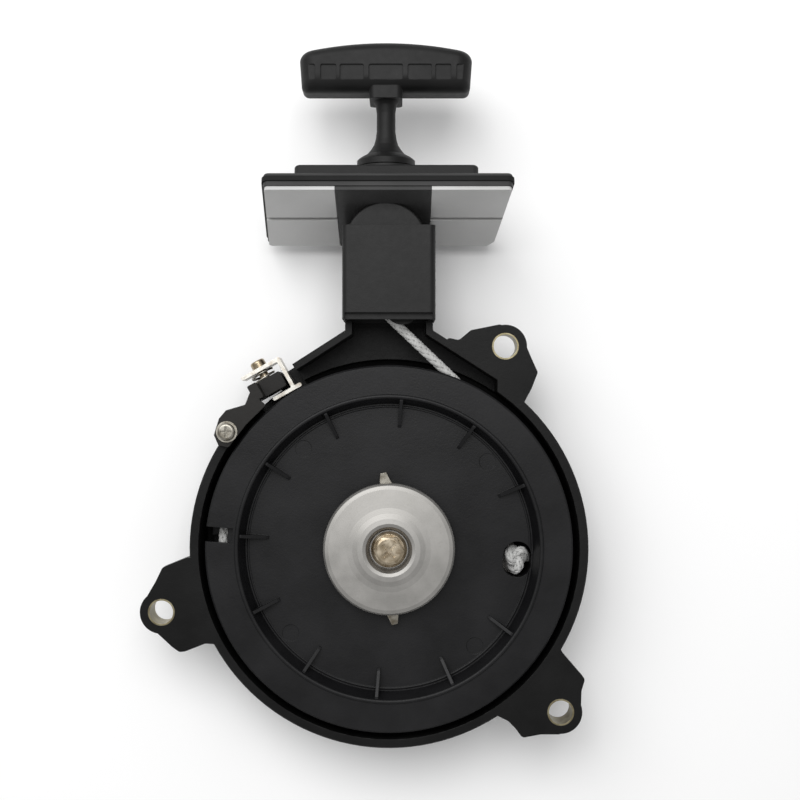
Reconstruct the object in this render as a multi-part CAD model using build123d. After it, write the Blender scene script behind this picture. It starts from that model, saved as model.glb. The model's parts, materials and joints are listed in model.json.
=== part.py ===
"""Recoil starter for a small outboard engine, seen as it lies on its back with the open side up.

Frame: millimetres, +Z along the sheave's axis towards the engine, +Y along the rope's exit towards the pull
handle, origin on the sheave's axis at the flat back of the case.
"""

import os
from math import acos, atan2, cos, degrees, hypot, pi, radians, sin

from build123d import *

# ---- rope and sheave: driving dimensions ------------------------------------------------------------------
ROPE_D = 5.0
ROPE_PITCH_R = 84.0          # radius of the rope's centreline on the sheave
ROPE_Z = 42.7                # height of the free rope and of the first turn
ROPE_LEAD = 5.5              # height between turns
KNOT_R, KNOT_ANGLE = 65.0, -5.4
FULL_TURNS = 3

SHEAVE_R = 92.0
SHEAVE_FACE_Z = 48.0
SHEAVE_BACK_Z = 20.0
FLANGE_T = 2.5
GROOVE_R = 81.3
GROOVE_WALL_T = 4.0
BEAD_R, BEAD_HALF_W, BEAD_H = 76.3, 1.1, 0.9  # half-round bead that edges the flange face
WEB_TOP_Z, WEB_T = 40.0, 3.0
RECESS_FLOOR_R = 72.6
WEB_RING_R, WEB_RING_HALF_W, WEB_RING_H = 71.3, 0.6, 0.45        # fine raised ring at the edge of the web
HUB_R, HUB_BOTTOM_Z, HUB_TOP_Z = 19.0, 4.5, 42.0
RIB_COUNT, RIB_FIRST_ANGLE, RIB_T, RIB_FOOT_R = 12, 25.2, 1.6, 61.0
EJECTOR_R, EJECTOR_MARK_D = 66.0, 8.5
ROPE_NOTCH_ANGLE, ROPE_NOTCH_W = 175.2, 7.5
LOCK_NOTCH_COUNT, LOCK_NOTCH_W, LOCK_NOTCH_R = 12, 20.6, 88.2
POCKET_L, POCKET_W, POCKET_WALL = 18.2, 14.4, 2.0      # oval pocket of the stopper knot

# ---- centre stack -----------------------------------------------------------------------------------------
POST_R, POST_TOP_Z = 6.4, 46.0
SLEEVE_R = 8.0
RUNNING_GAP = 0.05
BUSH_R = 10.0
BOLT_R, BOLT_FLANGE_R, BOLT_HEX_AF = 4.0, 9.0, 13.0
BOLT_SEAT_Z, BOLT_FLANGE_T, BOLT_HEAD_T = 48.2, 1.6, 5.0
BOLT_TIP_Z = 22.0
SPACER_R = 6.2
PLATE_T = 1.2
PLATE_R = 33.0
PLATE_FLOOR_Z = 46.8

# ---- power spring -----------------------------------------------------------------------------------------
SPRING_FIRST_R, SPRING_LEAD, SPRING_HALF_TURNS, SPRING_STRIP = 22.6, 3.2, 22, 0.9
SPRING_HUB_R, SPRING_CUP_R = 17.0, 63.6      # reach of its inner and outer hooks

# ---- pawls ------------------------------------------------------------------------------------------------
PAWL_PIVOT_R, PAWL_FIRST_ANGLE = 22.0, 41.0
PAWL_PIN_R = 2.0
PAWL_BOTTOM_Z, PAWL_T = 40.8, 5.0
PAWL_DRIVE_R = 29.5          # radius of the drive plate's pegs
PEG_R = 1.5

# ---- case -------------------------------------------------------------------------------------------------
CASE_R, RIM_R, BOWL_R = 98.8, 100.0, 95.6
RIM_Z, RIM_LIP_T = 46.0, 5.0
WALL = 3.2
BOWL_BACK_Z = 15.0
BOWL_FLOOR_Z = 18.2
CUP_R, CUP_BORE_R = 66.0, 62.0
COVER_Z, COVER_T, COVER_R = 16.8, 1.0, 65.0
COVER_HOLE_R = 22.0
LUG_PLACES = ((117.0, 60.1), (118.4, 195.6), (118.8, 316.4))      # radius and angle of each lug's bore
LUG_T, LUG_LENGTH, LUG_BOSS_R = 6.0, 14.0, 9.4
LUG_NOSE_R = 10.8
COLLAR_R, COLLAR_BORE_R = 6.7, 5.9
LUG_PLANS = (                # outline of each lug's flange; the last points run back into the bowl
    [(28, 102), (28.5, 106), (35, 104.5), (41, 109.5), (56, 112.5), (68.6, 102), (72, 94), (74.6, 88.4),
     (71.3, 80), (67, 72), (60, 72)],
    [(-90, -4), (-101.5, -4.5), (-113.5, -9.4), (-117, -16.6), (-124, -28.6), (-124, -35), (-108.5, -49.3),
     (-105, -51.8), (-102, -51.4), (-92, -47.5), (-84, -48)],
    [(84, -46), (87, -52.3), (98.2, -65.3), (96.4, -71.3), (96, -84), (85.6, -93), (76, -93), (66.8, -94.7),
     (63.3, -90), (59.8, -86.4), (52, -82.5), (52, -78)],
)

# ---- rope outlet ------------------------------------------------------------------------------------------
ROLLER_X, ROLLER_Y = 6.5, 121.0
ROLLER_PITCH_R, ROLLER_FLANGE_R, ROLLER_W = 8.0, 8.8, 12.0
ROLLER_PIN_R = 2.5
THROAT_HALF_W, THROAT_Y = 22.0, 109.4
THROAT_FOOT = (56.2, 87.5)   # where each side of the throat meets the bowl
THROAT_END_Y = 114.1
NECK_W, NECK_START_Y, NECK_END_Y = 46.0, 114.3, 160.6
NECK_BACK_Z, NECK_FRONT_Z, NECK_WALL = 25.0, 59.0, 3.4
NOSE_R, NOSE_Y, NOSE_TOP_Z = 20.0, 152.4, 56.5       # upright round nose between the neck and the front plate
SPIGOT_R, SPIGOT_END_Y = 14.0, 172.0
SPIGOT_DEPTH = 5.8           # how far the spigot may reach into the front plate
EYELET_R, EYELET_BORE_R, EYELET_LENGTH = 8.0, 3.4, 6.0
TONGUE_Z, TONGUE_T, TONGUE_W, TONGUE_END_Y = 18.0, 6.8, 40.0, 156.0
NECK_SCREW_R, NECK_SCREW_HEAD_R = 1.9, 3.8

# ---- front plate: it leans, so its pieces are drawn in the plate's own plane -----------------------------
PLATE_TILT = 19.4
PLATE_BACK_Y, PLATE_MID_Z = 167.8, 40.0
FRONT_PLAN = ((-60.8, -30.75), (60.5, -30.75), (55.6, 25.5), (51.6, 31.2), (-64.2, 30.75))
FRONT_T, FRONT_CORNER_R = 7.2, 2.6
SEAL_LOW, SEAL_HIGH, SEAL_PROUD = 2.4, 5.0, 0.8
PANEL_T, PANEL_GAP, PANEL_INSET = 2.0, 3.0, 0.7
SOCKET_X, SOCKET_W = -2.6, 46.6
SEAT_X, SEAT_W, SEAT_H, SEAT_T = -1.2, 90.6, 49.0, 8.1
SEAT_BOSS_R, SEAT_BOSS_Y = 14.8, 191.2
PLATE_SCREW_R, PLATE_SCREW_HEAD_R, PLATE_SCREW_HEAD_T, PLATE_SCREW_TIP = 2.1, 4.4, 2.6, 1.8

# ---- handle -----------------------------------------------------------------------------------------------
GRIP_W, GRIP_BOTTOM_Y, GRIP_END_Y, GRIP_TOP_Y = 86.5, 227.6, 246.8, 251.8
GRIP_T = 25.0
RECESS_Y0, RECESS_Y1, RECESS_DEPTH = 233.0, 240.4, 0.9
COLLAR_Y0, COLLAR_Y1, COLLAR_W, COLLAR_T = 224.2, 230.4, 16.4, 21.6
STEM_R, STEM_TOP_R = 4.7, 5.3
FOOT_Y, FOOT_R = 191.6, 14.6
ROPE_HOLE_R = 2.8
HANDLE_KNOT_Y, HANDLE_KNOT_R = 240.2, 5.2
KNOT_ROOM_R, KNOT_ROOM_Y, CAP_Y = 6.2, 234.3, 245.6

# ---- stop slide: in its own axes, S outwards from the sheave and T clockwise along the rim ---------------
STOP_ANGLE = 119.1
STOP_Z, STOP_H = 19.6, 14.0
STOP_SHEET = 2.0
LEG_S, LEG_T0, LEG_T1 = 110.0, -24.7, -2.4          # outer leg
SIDE_T = -4.4                                       # side leg
FOOT_S, FOOT_T0, FOOT_T1 = 93.2, -15.5, 1.0         # foot that drops into a lock notch
STOP_PIN_T, STOP_PIN_R, STOP_PIN_HEAD_R, STOP_PIN_HEAD_T = -14.0, 2.4, 3.9, 4.0
BLOCK_S0, BLOCK_S1, BLOCK_T0, BLOCK_T1, BLOCK_TOP_Z = 97.0, 105.3, -22.5, -5.6, 38.0
SPRING_POCKET_R, SPRING_POCKET_D = 7.0, 5.0
SHOULDER_T = -17.5                                  # the block's raised shoulder that carries the arm
ARM_T = 3.6
ARM_PLAN = (                                        # radius and angle of the arm's corners, on the case's rim
    (94.6, 130.6), (94.6, 139.0), (94.8, 147.5), (99.5, 148.6), (104.2, 146.8),
    (106.9, 142.4), (106.8, 139.5), (101.7, 134.8), (104.8, 131.2),
)
SCREW_PLACE_R, SCREW_ANGLE = 99.8, 144.0
SCREW_R, SCREW_HEAD_R, SCREW_HEAD_T, SCREW_TIP_Z = 2.5, 4.4, 3.0, 33.0
WASHER_R, WASHER_T = 5.3, 1.0
SCREW_BOSS_R, SCREW_BOSS_Z = 5.6, 30.0

OUT = "parts"


# ---- helpers ----------------------------------------------------------------------------------------------
def polar(radius, angle):
    """Point of the XY plane at a radius and an angle in degrees."""
    return radius * cos(radians(angle)), radius * sin(radians(angle))


def ring(outer, inner, bottom, top, x=0.0, y=0.0):
    """Plain round ring along Z."""
    height = top - bottom
    place = Pos(x, y, bottom + height / 2)
    return place * (Cylinder(outer, height) - Cylinder(inner, height))


def rod(radius, bottom, top, x=0.0, y=0.0):
    """Plain round rod along Z."""
    return Pos(x, y, (bottom + top) / 2) * Cylinder(radius, top - bottom)


def half_round(radius, height, half_width, rise, steps=8):
    """Points of a raised bead in a turned outline, from its outer side to its inner side."""
    turns = [pi * i / steps for i in range(steps + 1)]
    return [(radius + half_width * cos(t), height + rise * sin(t)) for t in turns]


def rod_y(radius, start, end, x=0.0, z=ROPE_Z):
    """Plain round rod along Y."""
    return Pos(x, (start + end) / 2, z) * Rot(90, 0, 0) * Cylinder(radius, end - start)


def block(x0, x1, y0, y1, z0, z1):
    """Box between two corners."""
    return Pos((x0 + x1) / 2, (y0 + y1) / 2, (z0 + z1) / 2) * Box(x1 - x0, y1 - y0, z1 - z0)


def turned(points):
    """Solid of revolution about Z of an outline given as (radius, height)."""
    wire = Polyline([(r, 0, z) for r, z in points], close=True)
    return revolve(make_face(wire), Axis.Z)


def prism(points, bottom, top):
    """Upright prism on an outline of (x, y) points."""
    return Pos(0, 0, bottom) * extrude(make_face(Polyline(points, close=True)), top - bottom)


def hexagon(across_flats, bottom, top):
    """Hexagonal prism along Z."""
    sketch = RegularPolygon(across_flats / 2, 6, major_radius=False)
    return Pos(0, 0, bottom) * extrude(sketch, top - bottom)


def rounded(shape, edges, radius):
    """Fillet that steps down to a smaller radius where the full one doesn't fit."""
    for share in (1.0, 0.7, 0.4):
        try:
            return fillet(edges, radius * share)
        except (ValueError, RuntimeError):
            continue
    return shape


def cross_slots(width, length, depth, z, x=0.0, y=0.0):
    """Two crossed slots sunk into a screw head whose face is at z."""
    return Pos(x, y, z) * (Box(length, width, 2 * depth) + Box(width, length, 2 * depth))


def save(name, shape):
    """Writes a node, as one solid or as a group of separate solids."""
    solids = shape.solids()
    if not solids:
        raise ValueError(f"{name} holds no solid")
    whole = solids[0] if len(solids) == 1 else Compound(children=list(solids))
    export_step(whole, os.path.join(OUT, name + ".step"))


# ---- rope route -------------------------------------------------------------------------------------------
def rope_tangent():
    """Ends of the rope's straight run from roller to sheave: the crossed tangent of the two circles."""
    reach = hypot(ROLLER_X, ROLLER_Y)
    turn = degrees(acos((ROLLER_PITCH_R + ROPE_PITCH_R) / reach))
    angle = degrees(atan2(ROLLER_Y, ROLLER_X)) - turn
    nx, ny = polar(1.0, angle)
    on_roller = (ROLLER_X - ROLLER_PITCH_R * nx, ROLLER_Y - ROLLER_PITCH_R * ny)
    on_sheave = (ROPE_PITCH_R * nx, ROPE_PITCH_R * ny)
    return on_roller, on_sheave, angle


ON_ROLLER, ON_SHEAVE, TANGENT_ANGLE = rope_tangent()
WOUND_DEGREES = TANGENT_ANGLE - KNOT_ANGLE + 360 * FULL_TURNS
WOUND_DROP = ROPE_LEAD * WOUND_DEGREES / 360
WOUND_LENGTH = radians(WOUND_DEGREES) * hypot(ROPE_PITCH_R, ROPE_LEAD / (2 * pi))
ROPE_X = ROLLER_X - ROLLER_PITCH_R


def make_rope_wound():
    """Turns of rope in the sheave's groove, from the tangent point down to the knot's hole."""
    helix = Helix(ROPE_LEAD, WOUND_DROP, ROPE_PITCH_R, lefthand=False)
    start = helix @ 0
    section = Plane(origin=start, z_dir=helix % 0) * Circle(ROPE_D / 2)
    coil = sweep(section, path=helix)
    knot_z = ROPE_Z - WOUND_DROP
    return Rot(0, 0, KNOT_ANGLE) * Pos(0, 0, knot_z) * coil


def make_rope_tail():
    """End of the rope through the groove wall, and the stopper knot in the sheave's pocket."""
    knot_z = ROPE_Z - WOUND_DROP
    inner, outer = KNOT_R + 5.0, ROPE_PITCH_R - 2.6
    tail = Pos((inner + outer) / 2, 0, knot_z) * Rot(0, 90, 0) * Cylinder(ROPE_D / 2, outer - inner)
    knot = Pos(KNOT_R, 0, knot_z + 5.0) * Sphere(6.8)
    return Rot(0, 0, KNOT_ANGLE) * (tail + knot)


def make_rope_run():
    """Free rope: off the sheave, round the guide roller and up the neck to the handle's foot."""
    top = (ROPE_X, FOOT_Y - 0.2, ROPE_Z)
    roller_side = (ROPE_X, ROLLER_Y, ROPE_Z)
    near_sheave = 0.3
    dx, dy = ON_SHEAVE[0] - ON_ROLLER[0], ON_SHEAVE[1] - ON_ROLLER[1]
    share = 1 - near_sheave / hypot(dx, dy)
    end = (ON_ROLLER[0] + dx * share, ON_ROLLER[1] + dy * share, ROPE_Z)
    middle = polar(ROLLER_PITCH_R, (180 + 180 + TANGENT_ANGLE) / 2)
    path = Wire(
        [
            Line(top, roller_side).edge(),
            ThreePointArc(
                roller_side,
                (ROLLER_X + middle[0], ROLLER_Y + middle[1], ROPE_Z),
                (*ON_ROLLER, ROPE_Z),
            ).edge(),
            Line((*ON_ROLLER, ROPE_Z), end).edge(),
        ]
    )
    section = Plane(origin=top, z_dir=(0, -1, 0)) * Circle(ROPE_D / 2)
    return sweep(section, path=path)


def make_rope_grip_end():
    """Rope inside the handle, with its knot under the cap."""
    knot = Pos(ROPE_X, HANDLE_KNOT_Y, ROPE_Z) * Sphere(HANDLE_KNOT_R)
    return rod_y(ROPE_D / 2, FOOT_Y, HANDLE_KNOT_Y, x=ROPE_X) + knot


# ---- sheave -----------------------------------------------------------------------------------------------
def make_sheave():
    """Rope drum: hub, dished web with gussets, deep groove between two flanges."""
    web_bottom = WEB_TOP_Z - WEB_T
    skirt_r = GROOVE_R - GROOVE_WALL_T
    top_groove, low_groove = SHEAVE_FACE_Z - FLANGE_T, SHEAVE_BACK_Z + FLANGE_T
    body = turned(
        [
            (BUSH_R, HUB_BOTTOM_Z),
            (HUB_R, HUB_BOTTOM_Z),
            (HUB_R, web_bottom),
            (RECESS_FLOOR_R - 2, web_bottom),
            (skirt_r, web_bottom - 4),
            (skirt_r, SHEAVE_BACK_Z),
            (SHEAVE_R - 0.8, SHEAVE_BACK_Z),
            (SHEAVE_R, SHEAVE_BACK_Z + 0.8),
            (SHEAVE_R, low_groove),
            (GROOVE_R, low_groove),
            (GROOVE_R, top_groove),
            (SHEAVE_R, top_groove),
            (SHEAVE_R, SHEAVE_FACE_Z - 0.9),
            (SHEAVE_R - 0.9, SHEAVE_FACE_Z),
            *half_round(BEAD_R, SHEAVE_FACE_Z, BEAD_HALF_W, BEAD_H),
            (RECESS_FLOOR_R, WEB_TOP_Z),
            *half_round(WEB_RING_R, WEB_TOP_Z, WEB_RING_HALF_W, WEB_RING_H),
            (HUB_R - 3, WEB_TOP_Z),
            (HUB_R - 5, HUB_TOP_Z),
            (BUSH_R, HUB_TOP_Z),
        ]
    )
    body += make_gussets()
    for angle in (PAWL_FIRST_ANGLE, PAWL_FIRST_ANGLE + 180):
        x, y = polar(PAWL_PIVOT_R, angle)
        body += rod(5.0, web_bottom - 4, WEB_TOP_Z, x, y)
        body -= rod(PAWL_PIN_R, web_bottom - 5, WEB_TOP_Z + 1, x, y)
    return cut_sheave(body, web_bottom)


def make_gussets():
    """Radial gussets in the recess; the knot's pocket takes the place of one."""
    foot_z, top_z = WEB_TOP_Z - 0.8, SHEAVE_FACE_Z - 0.7
    outline = [(RIB_FOOT_R, foot_z), (RIB_FOOT_R, WEB_TOP_Z + 0.9), (RIB_FOOT_R + 1.2, WEB_TOP_Z + 1.8)]
    outline += [(BEAD_R - 2.1, top_z), (BEAD_R - 0.3, top_z), (BEAD_R - 0.3, foot_z)]
    wire = Polyline([(r, -RIB_T / 2, z) for r, z in outline], close=True)
    gusset = extrude(make_face(wire), RIB_T, dir=(0, 1, 0))
    step = 360 / RIB_COUNT
    angles = [RIB_FIRST_ANGLE + step * i for i in range(RIB_COUNT)]
    kept = [a for a in angles if abs((a - KNOT_ANGLE + 180) % 360 - 180) > step / 2]
    return Compound(children=[Rot(0, 0, a) * gusset for a in kept])


def cut_sheave(body, web_bottom):
    """Pocket and hole for the knot, winding notch, lock notches, spring slot and ejector marks."""
    wall = 2 * POCKET_WALL
    skirt_z = SHEAVE_BACK_Z + 2
    skirt = extrude(SlotOverall(POCKET_L + wall, POCKET_W + wall, rotation=90), WEB_TOP_Z - skirt_z)
    body += Rot(0, 0, KNOT_ANGLE) * Pos(KNOT_R, 0, skirt_z) * skirt
    pocket = extrude(SlotOverall(POCKET_L, POCKET_W, rotation=90), SHEAVE_FACE_Z - SHEAVE_BACK_Z)
    body -= Rot(0, 0, KNOT_ANGLE) * Pos(KNOT_R, 0, skirt_z - 1) * pocket
    knot_z = ROPE_Z - WOUND_DROP
    hole = Pos(76, 0, knot_z) * Rot(0, 90, 0) * Cylinder(ROPE_D / 2 + 0.5, 22)
    body -= Rot(0, 0, KNOT_ANGLE) * hole
    notch = block(BEAD_R + 2.2, SHEAVE_R + 1, -ROPE_NOTCH_W / 2, ROPE_NOTCH_W / 2, 44, 50)
    body -= Rot(0, 0, ROPE_NOTCH_ANGLE) * notch
    lock = block(LOCK_NOTCH_R, 100, -LOCK_NOTCH_W / 2, LOCK_NOTCH_W / 2, 19, 23)
    for i in range(LOCK_NOTCH_COUNT):
        body -= Rot(0, 0, lock_notch_angle() + i * 360 / LOCK_NOTCH_COUNT) * lock
    body -= block(HUB_R - 3.0, HUB_R + 1, -1.4, 1.4, HUB_BOTTOM_Z - 1, 17.5)
    for angle in (41, 131, 221, 311):
        x, y = polar(EJECTOR_R, angle)
        body -= rod(EJECTOR_MARK_D / 2, WEB_TOP_Z - 0.35, WEB_TOP_Z + 1, x, y)
    return body


def lock_notch_angle():
    """Angle of the lock notch that faces the stop slide's foot at rest."""
    return STOP_ANGLE - degrees(atan2((FOOT_T0 + FOOT_T1) / 2, FOOT_S - 2))


# ---- centre stack -----------------------------------------------------------------------------------------
def make_drive_plate():
    """Dished steel plate over the pawls: crater for the bolt, raised lip, rolled rim, and two drive pegs."""
    upper = [
        (SPACER_R + 0.1, PLATE_FLOOR_Z + PLATE_T),
        (9.5, PLATE_FLOOR_Z + PLATE_T),
        (10.1, PLATE_FLOOR_Z + PLATE_T + 0.6),
        (10.6, 51.4),
        (11.6, 52.9),
        (13.2, 53.5),
        (15.6, 53.2),
        (18.2, 52.4),
        (21.0, 51.9),
        (PLATE_R - 2.9, 51.0),
        (PLATE_R - 1.1, 50.4),
        (PLATE_R - 0.2, 49.3),
        (PLATE_R, 47.2),
    ]
    lower = [
        (PLATE_R - PLATE_T, 47.2),
        (PLATE_R - 1.4, 48.8),
        (PLATE_R - 2.0, 49.4),
        (PLATE_R - 3.3, 49.8),
        (21.0, 50.7),
        (18.0, 51.2),
        (15.4, 52.0),
        (13.2, 52.3),
        (12.4, 51.9),
        (11.8, 50.9),
        (11.3, PLATE_FLOOR_Z + PLATE_T),
        (10.4, PLATE_FLOOR_Z),
        (SPACER_R + 0.1, PLATE_FLOOR_Z),
    ]
    plate = turned(upper + lower)
    for angle in (PAWL_FIRST_ANGLE, PAWL_FIRST_ANGLE + 180):
        x, y = polar(PAWL_DRIVE_R, angle)
        plate += rod(PEG_R, PAWL_BOTTOM_Z + 0.6, 50.2, x, y)
    return plate


def make_pawl():
    """Steel pawl in the first pivot's own axes: eye, arm with a hooked tip, and a fork for the drive peg."""
    arm = [
        (-4.6, 1.0),
        (-4.6, 12.0),
        (-4.6, 22.0),
        (-3.7, 28.2),
        (-0.6, 31.2),
        (2.0, 29.8),
        (0.6, 24.5),
        (1.8, 20.0),
        (4.6, 13.5),
        (5.4, 8.0),
        (4.8, 0.0),
    ]
    flat = make_face(Polyline(arm, close=True)) + Circle(5.0)
    flat += Pos(5.4, 0) * Rectangle(7.4, 7.6)
    flat -= Circle(PAWL_PIN_R + RUNNING_GAP)
    reach = PAWL_DRIVE_R - PAWL_PIVOT_R
    slot = Pos(reach + 2.0, 0) * Rectangle(4.0 + 2 * PEG_R, 2 * PEG_R + 0.5)
    flat -= slot + Pos(reach - 0.6, 0) * Circle(PEG_R + 0.25)
    return Pos(0, 0, PAWL_BOTTOM_Z) * extrude(flat, PAWL_T)


def place_pawl(index):
    """A pawl on its pivot; the second is half a turn round from the first."""
    angle = PAWL_FIRST_ANGLE + 180 * index
    x, y = polar(PAWL_PIVOT_R, angle)
    return Pos(x, y, 0) * Rot(0, 0, angle) * make_pawl()


def make_pawl_pins():
    """Two riveted pivot pins with a small head over each pawl."""
    pins = []
    for angle in (PAWL_FIRST_ANGLE, PAWL_FIRST_ANGLE + 180):
        x, y = polar(PAWL_PIVOT_R, angle)
        shank = rod(PAWL_PIN_R, WEB_TOP_Z - WEB_T - 4.6, 46.9, x, y)
        pins.append(shank + rod(3.4, 46.0, 46.9, x, y) + rod(2.9, 31.8, 33.0, x, y))
    return Compound(children=pins)


def make_centre_bolt():
    """Hexagon flange bolt that holds the stack on the post, with a shallow cross in its head."""
    flange = turned(
        [
            (0, BOLT_SEAT_Z),
            (BOLT_FLANGE_R, BOLT_SEAT_Z),
            (BOLT_FLANGE_R, BOLT_SEAT_Z + 0.7),
            (7.6, BOLT_SEAT_Z + BOLT_FLANGE_T),
            (0, BOLT_SEAT_Z + BOLT_FLANGE_T),
        ]
    )
    head_top = BOLT_SEAT_Z + BOLT_FLANGE_T + BOLT_HEAD_T
    corner = BOLT_HEX_AF / 2 / cos(pi / 6)
    crown = turned(
        [
            (0, BOLT_SEAT_Z),
            (corner + 0.1, BOLT_SEAT_Z),
            (corner + 0.1, head_top - 1.0),
            (corner - 1.7, head_top),
            (0, head_top),
        ]
    )
    head = hexagon(BOLT_HEX_AF, BOLT_SEAT_Z, head_top) & crown
    for turn in (45, 135):
        slot = Pos(0, 0, head_top) * Box(8.4, 1.5, 3.6)
        head -= Rot(0, 0, turn) * slot
    return rod(BOLT_R, BOLT_TIP_Z, BOLT_SEAT_Z) + flange + head


def make_power_spring():
    """Flat spiral spring of joined half circles, hooked to the hub inside and to the cup outside."""
    start_x = SPRING_FIRST_R - SPRING_LEAD / 4
    end_x = SPRING_FIRST_R + (SPRING_HALF_TURNS - 0.5) * SPRING_LEAD / 2
    inner, outer = spring_side(-SPRING_STRIP / 2), spring_side(SPRING_STRIP / 2)
    closing = [
        Line(inner[0] @ 0, outer[0] @ 0).edge(),
        Line(inner[-1] @ 1, outer[-1] @ 1).edge(),
    ]
    band = make_face(Wire(inner + outer + closing))
    hub_hook = Pos((SPRING_HUB_R + start_x) / 2, -0.6) * Rectangle(start_x - SPRING_HUB_R, 1.2)
    cup_hook = Pos((SPRING_CUP_R + end_x) / 2, 0.6) * Rectangle(SPRING_CUP_R - end_x, 1.2)
    return Pos(0, 0, 4.4) * extrude(band + hub_hook + cup_hook, 12.0)


def spring_side(offset):
    """One side of the spiral strip: half circles whose centres alternate about the axis."""
    edges = []
    for k in range(SPRING_HALF_TURNS):
        sign = 1 if k % 2 == 0 else -1
        x = -sign * SPRING_LEAD / 4
        r = SPRING_FIRST_R + k * SPRING_LEAD / 2 + offset
        edges.append(ThreePointArc((x + sign * r, 0), (x, -sign * r), (x - sign * r, 0)).edge())
    return edges


def make_spring_cover():
    """Thin steel disc that keeps the power spring in its cup, held by three tongues."""
    cover = ring(COVER_R, COVER_HOLE_R, COVER_Z, COVER_Z + COVER_T)
    for angle in (30, 150, 270):
        x, y = polar(43, angle)
        cover -= rod(3.5, COVER_Z - 1, COVER_Z + COVER_T + 1, x, y)
    return cover


def make_drag_clip():
    """Open wire ring that grips the sleeve; its upturned ends hold the drive plate's floor."""
    middle_r, wire_r, height = SLEEVE_R + 0.62, 0.6, 45.2
    clip = Pos(0, 0, height) * (Torus(middle_r, wire_r) - block(0, 14, -2.4, 2.4, -2, 2))
    for angle in (-18, 18):
        clip += rod(wire_r, height, PLATE_FLOOR_Z, *polar(middle_r, angle))
    return clip


# ---- case -------------------------------------------------------------------------------------------------
def throat_outline(inset, end_y):
    """Plan of the throat that joins the bowl to the neck, drawn in by inset."""
    fx, fy = THROAT_FOOT
    lean = atan2(THROAT_Y - fy, fx - THROAT_HALF_W)
    shift_x, shift_y = inset * sin(lean), inset * cos(lean)
    side = [
        (fx - shift_x, fy - shift_y),
        (THROAT_HALF_W - inset, THROAT_Y - shift_y + (inset - shift_x) * 0.64),
        (THROAT_HALF_W - inset, end_y),
    ]
    left = [(-x, y) for x, y in reversed(side)]
    return [(fx - shift_x, 40.0)] + side + left + [(-fx + shift_x, 40.0)]


def make_lug(radius, angle, plan):
    """Lug with a rounded nose, a boss under it and two ribs back to the bowl."""
    x, y = polar(radius, angle)
    low = RIM_Z - LUG_T
    plate = prism(plan, low, RIM_Z)
    corners = [e for e in plate.edges().filter_by(Axis.Z) if hypot(e.center().X, e.center().Y) > CASE_R]
    plate = rounded(plate, corners, 2.4) + rod(LUG_NOSE_R, low, RIM_Z, x, y)
    boss_z = RIM_Z - LUG_LENGTH
    rib = Polyline([(-30, 0, 20), (-8, 0, boss_z + 2), (-8, 0, low + 2), (-30, 0, low + 2)], close=True)
    ribs = [Pos(0, offset, 0) * extrude(make_face(rib), 3.0, dir=(0, 1, 0)) for offset in (-9.0, 6.0)]
    under = Rot(0, 0, angle) * Compound(children=ribs)
    lug = plate + rod(LUG_BOSS_R, boss_z, RIM_Z - 1, x, y) + Pos(x, y, 0) * under
    return lug - rod(COLLAR_R, boss_z - 1, RIM_Z + 1, x, y)


def case_shell():
    """Bowl, spring cup and throat with their hollows, before the fittings are added."""
    outside = turned(
        [
            (0, 0),
            (CUP_R - 4, 0),
            (CUP_R - 1.2, 1.2),
            (CUP_R, 4),
            (CUP_R + 1.5, BOWL_BACK_Z - 2),
            (CUP_R + 4, BOWL_BACK_Z),
            (CASE_R - 6, BOWL_BACK_Z),
            (CASE_R - 2, BOWL_BACK_Z + 1.8),
            (CASE_R - 0.6, BOWL_BACK_Z + 5.5),
            (CASE_R, RIM_Z - RIM_LIP_T - 1.2),
            (RIM_R, RIM_Z - RIM_LIP_T),
            (RIM_R, RIM_Z - 0.6),
            (RIM_R - 0.6, RIM_Z),
            (0, RIM_Z),
        ]
    )
    throat = prism(throat_outline(0, THROAT_END_Y), BOWL_BACK_Z, RIM_Z)
    half = TONGUE_W / 2
    tongue = block(-half, half, 90, TONGUE_END_Y, TONGUE_Z, TONGUE_Z + TONGUE_T)
    tongue = rounded(tongue, tongue.edges().filter_by(Axis.Z), 4)
    shell = outside + throat + tongue
    for (radius, angle), plan in zip(LUG_PLACES, LUG_PLANS):
        shell += make_lug(radius, angle, plan)
    shell += back_ribs() + rod(SCREW_BOSS_R, SCREW_BOSS_Z, RIM_Z, *polar(SCREW_PLACE_R, SCREW_ANGLE))
    hollow = turned(
        [
            (0, WALL),
            (CUP_BORE_R, WALL),
            (CUP_BORE_R, COVER_Z),
            (COVER_R + 0.2, COVER_Z),
            (COVER_R + 0.2, BOWL_FLOOR_Z),
            (BOWL_R - 4, BOWL_FLOOR_Z),
            (BOWL_R - 0.6, BOWL_FLOOR_Z + 1.6),
            (BOWL_R, BOWL_FLOOR_Z + 6),
            (BOWL_R, RIM_Z + 1),
            (0, RIM_Z + 1),
        ]
    )
    throat_floor = TONGUE_Z + TONGUE_T
    hollow += prism(throat_outline(3.4, THROAT_END_Y + 1), throat_floor, RIM_Z + 1)
    return shell - hollow


def back_ribs():
    """Radial ribs on the bowl's back, between the spring cup and the outer wall."""
    rib = Polyline([(60, 0, 4.5), (60, 0, 20), (92, 0, 20), (92, 0, 12.2), (68, 0, 5.5)], close=True)
    one = extrude(make_face(rib), 1.6, both=True, dir=(0, 1, 0))
    return Compound(children=[Rot(0, 0, 15 + 30 * i) * one for i in range(12)])


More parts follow.
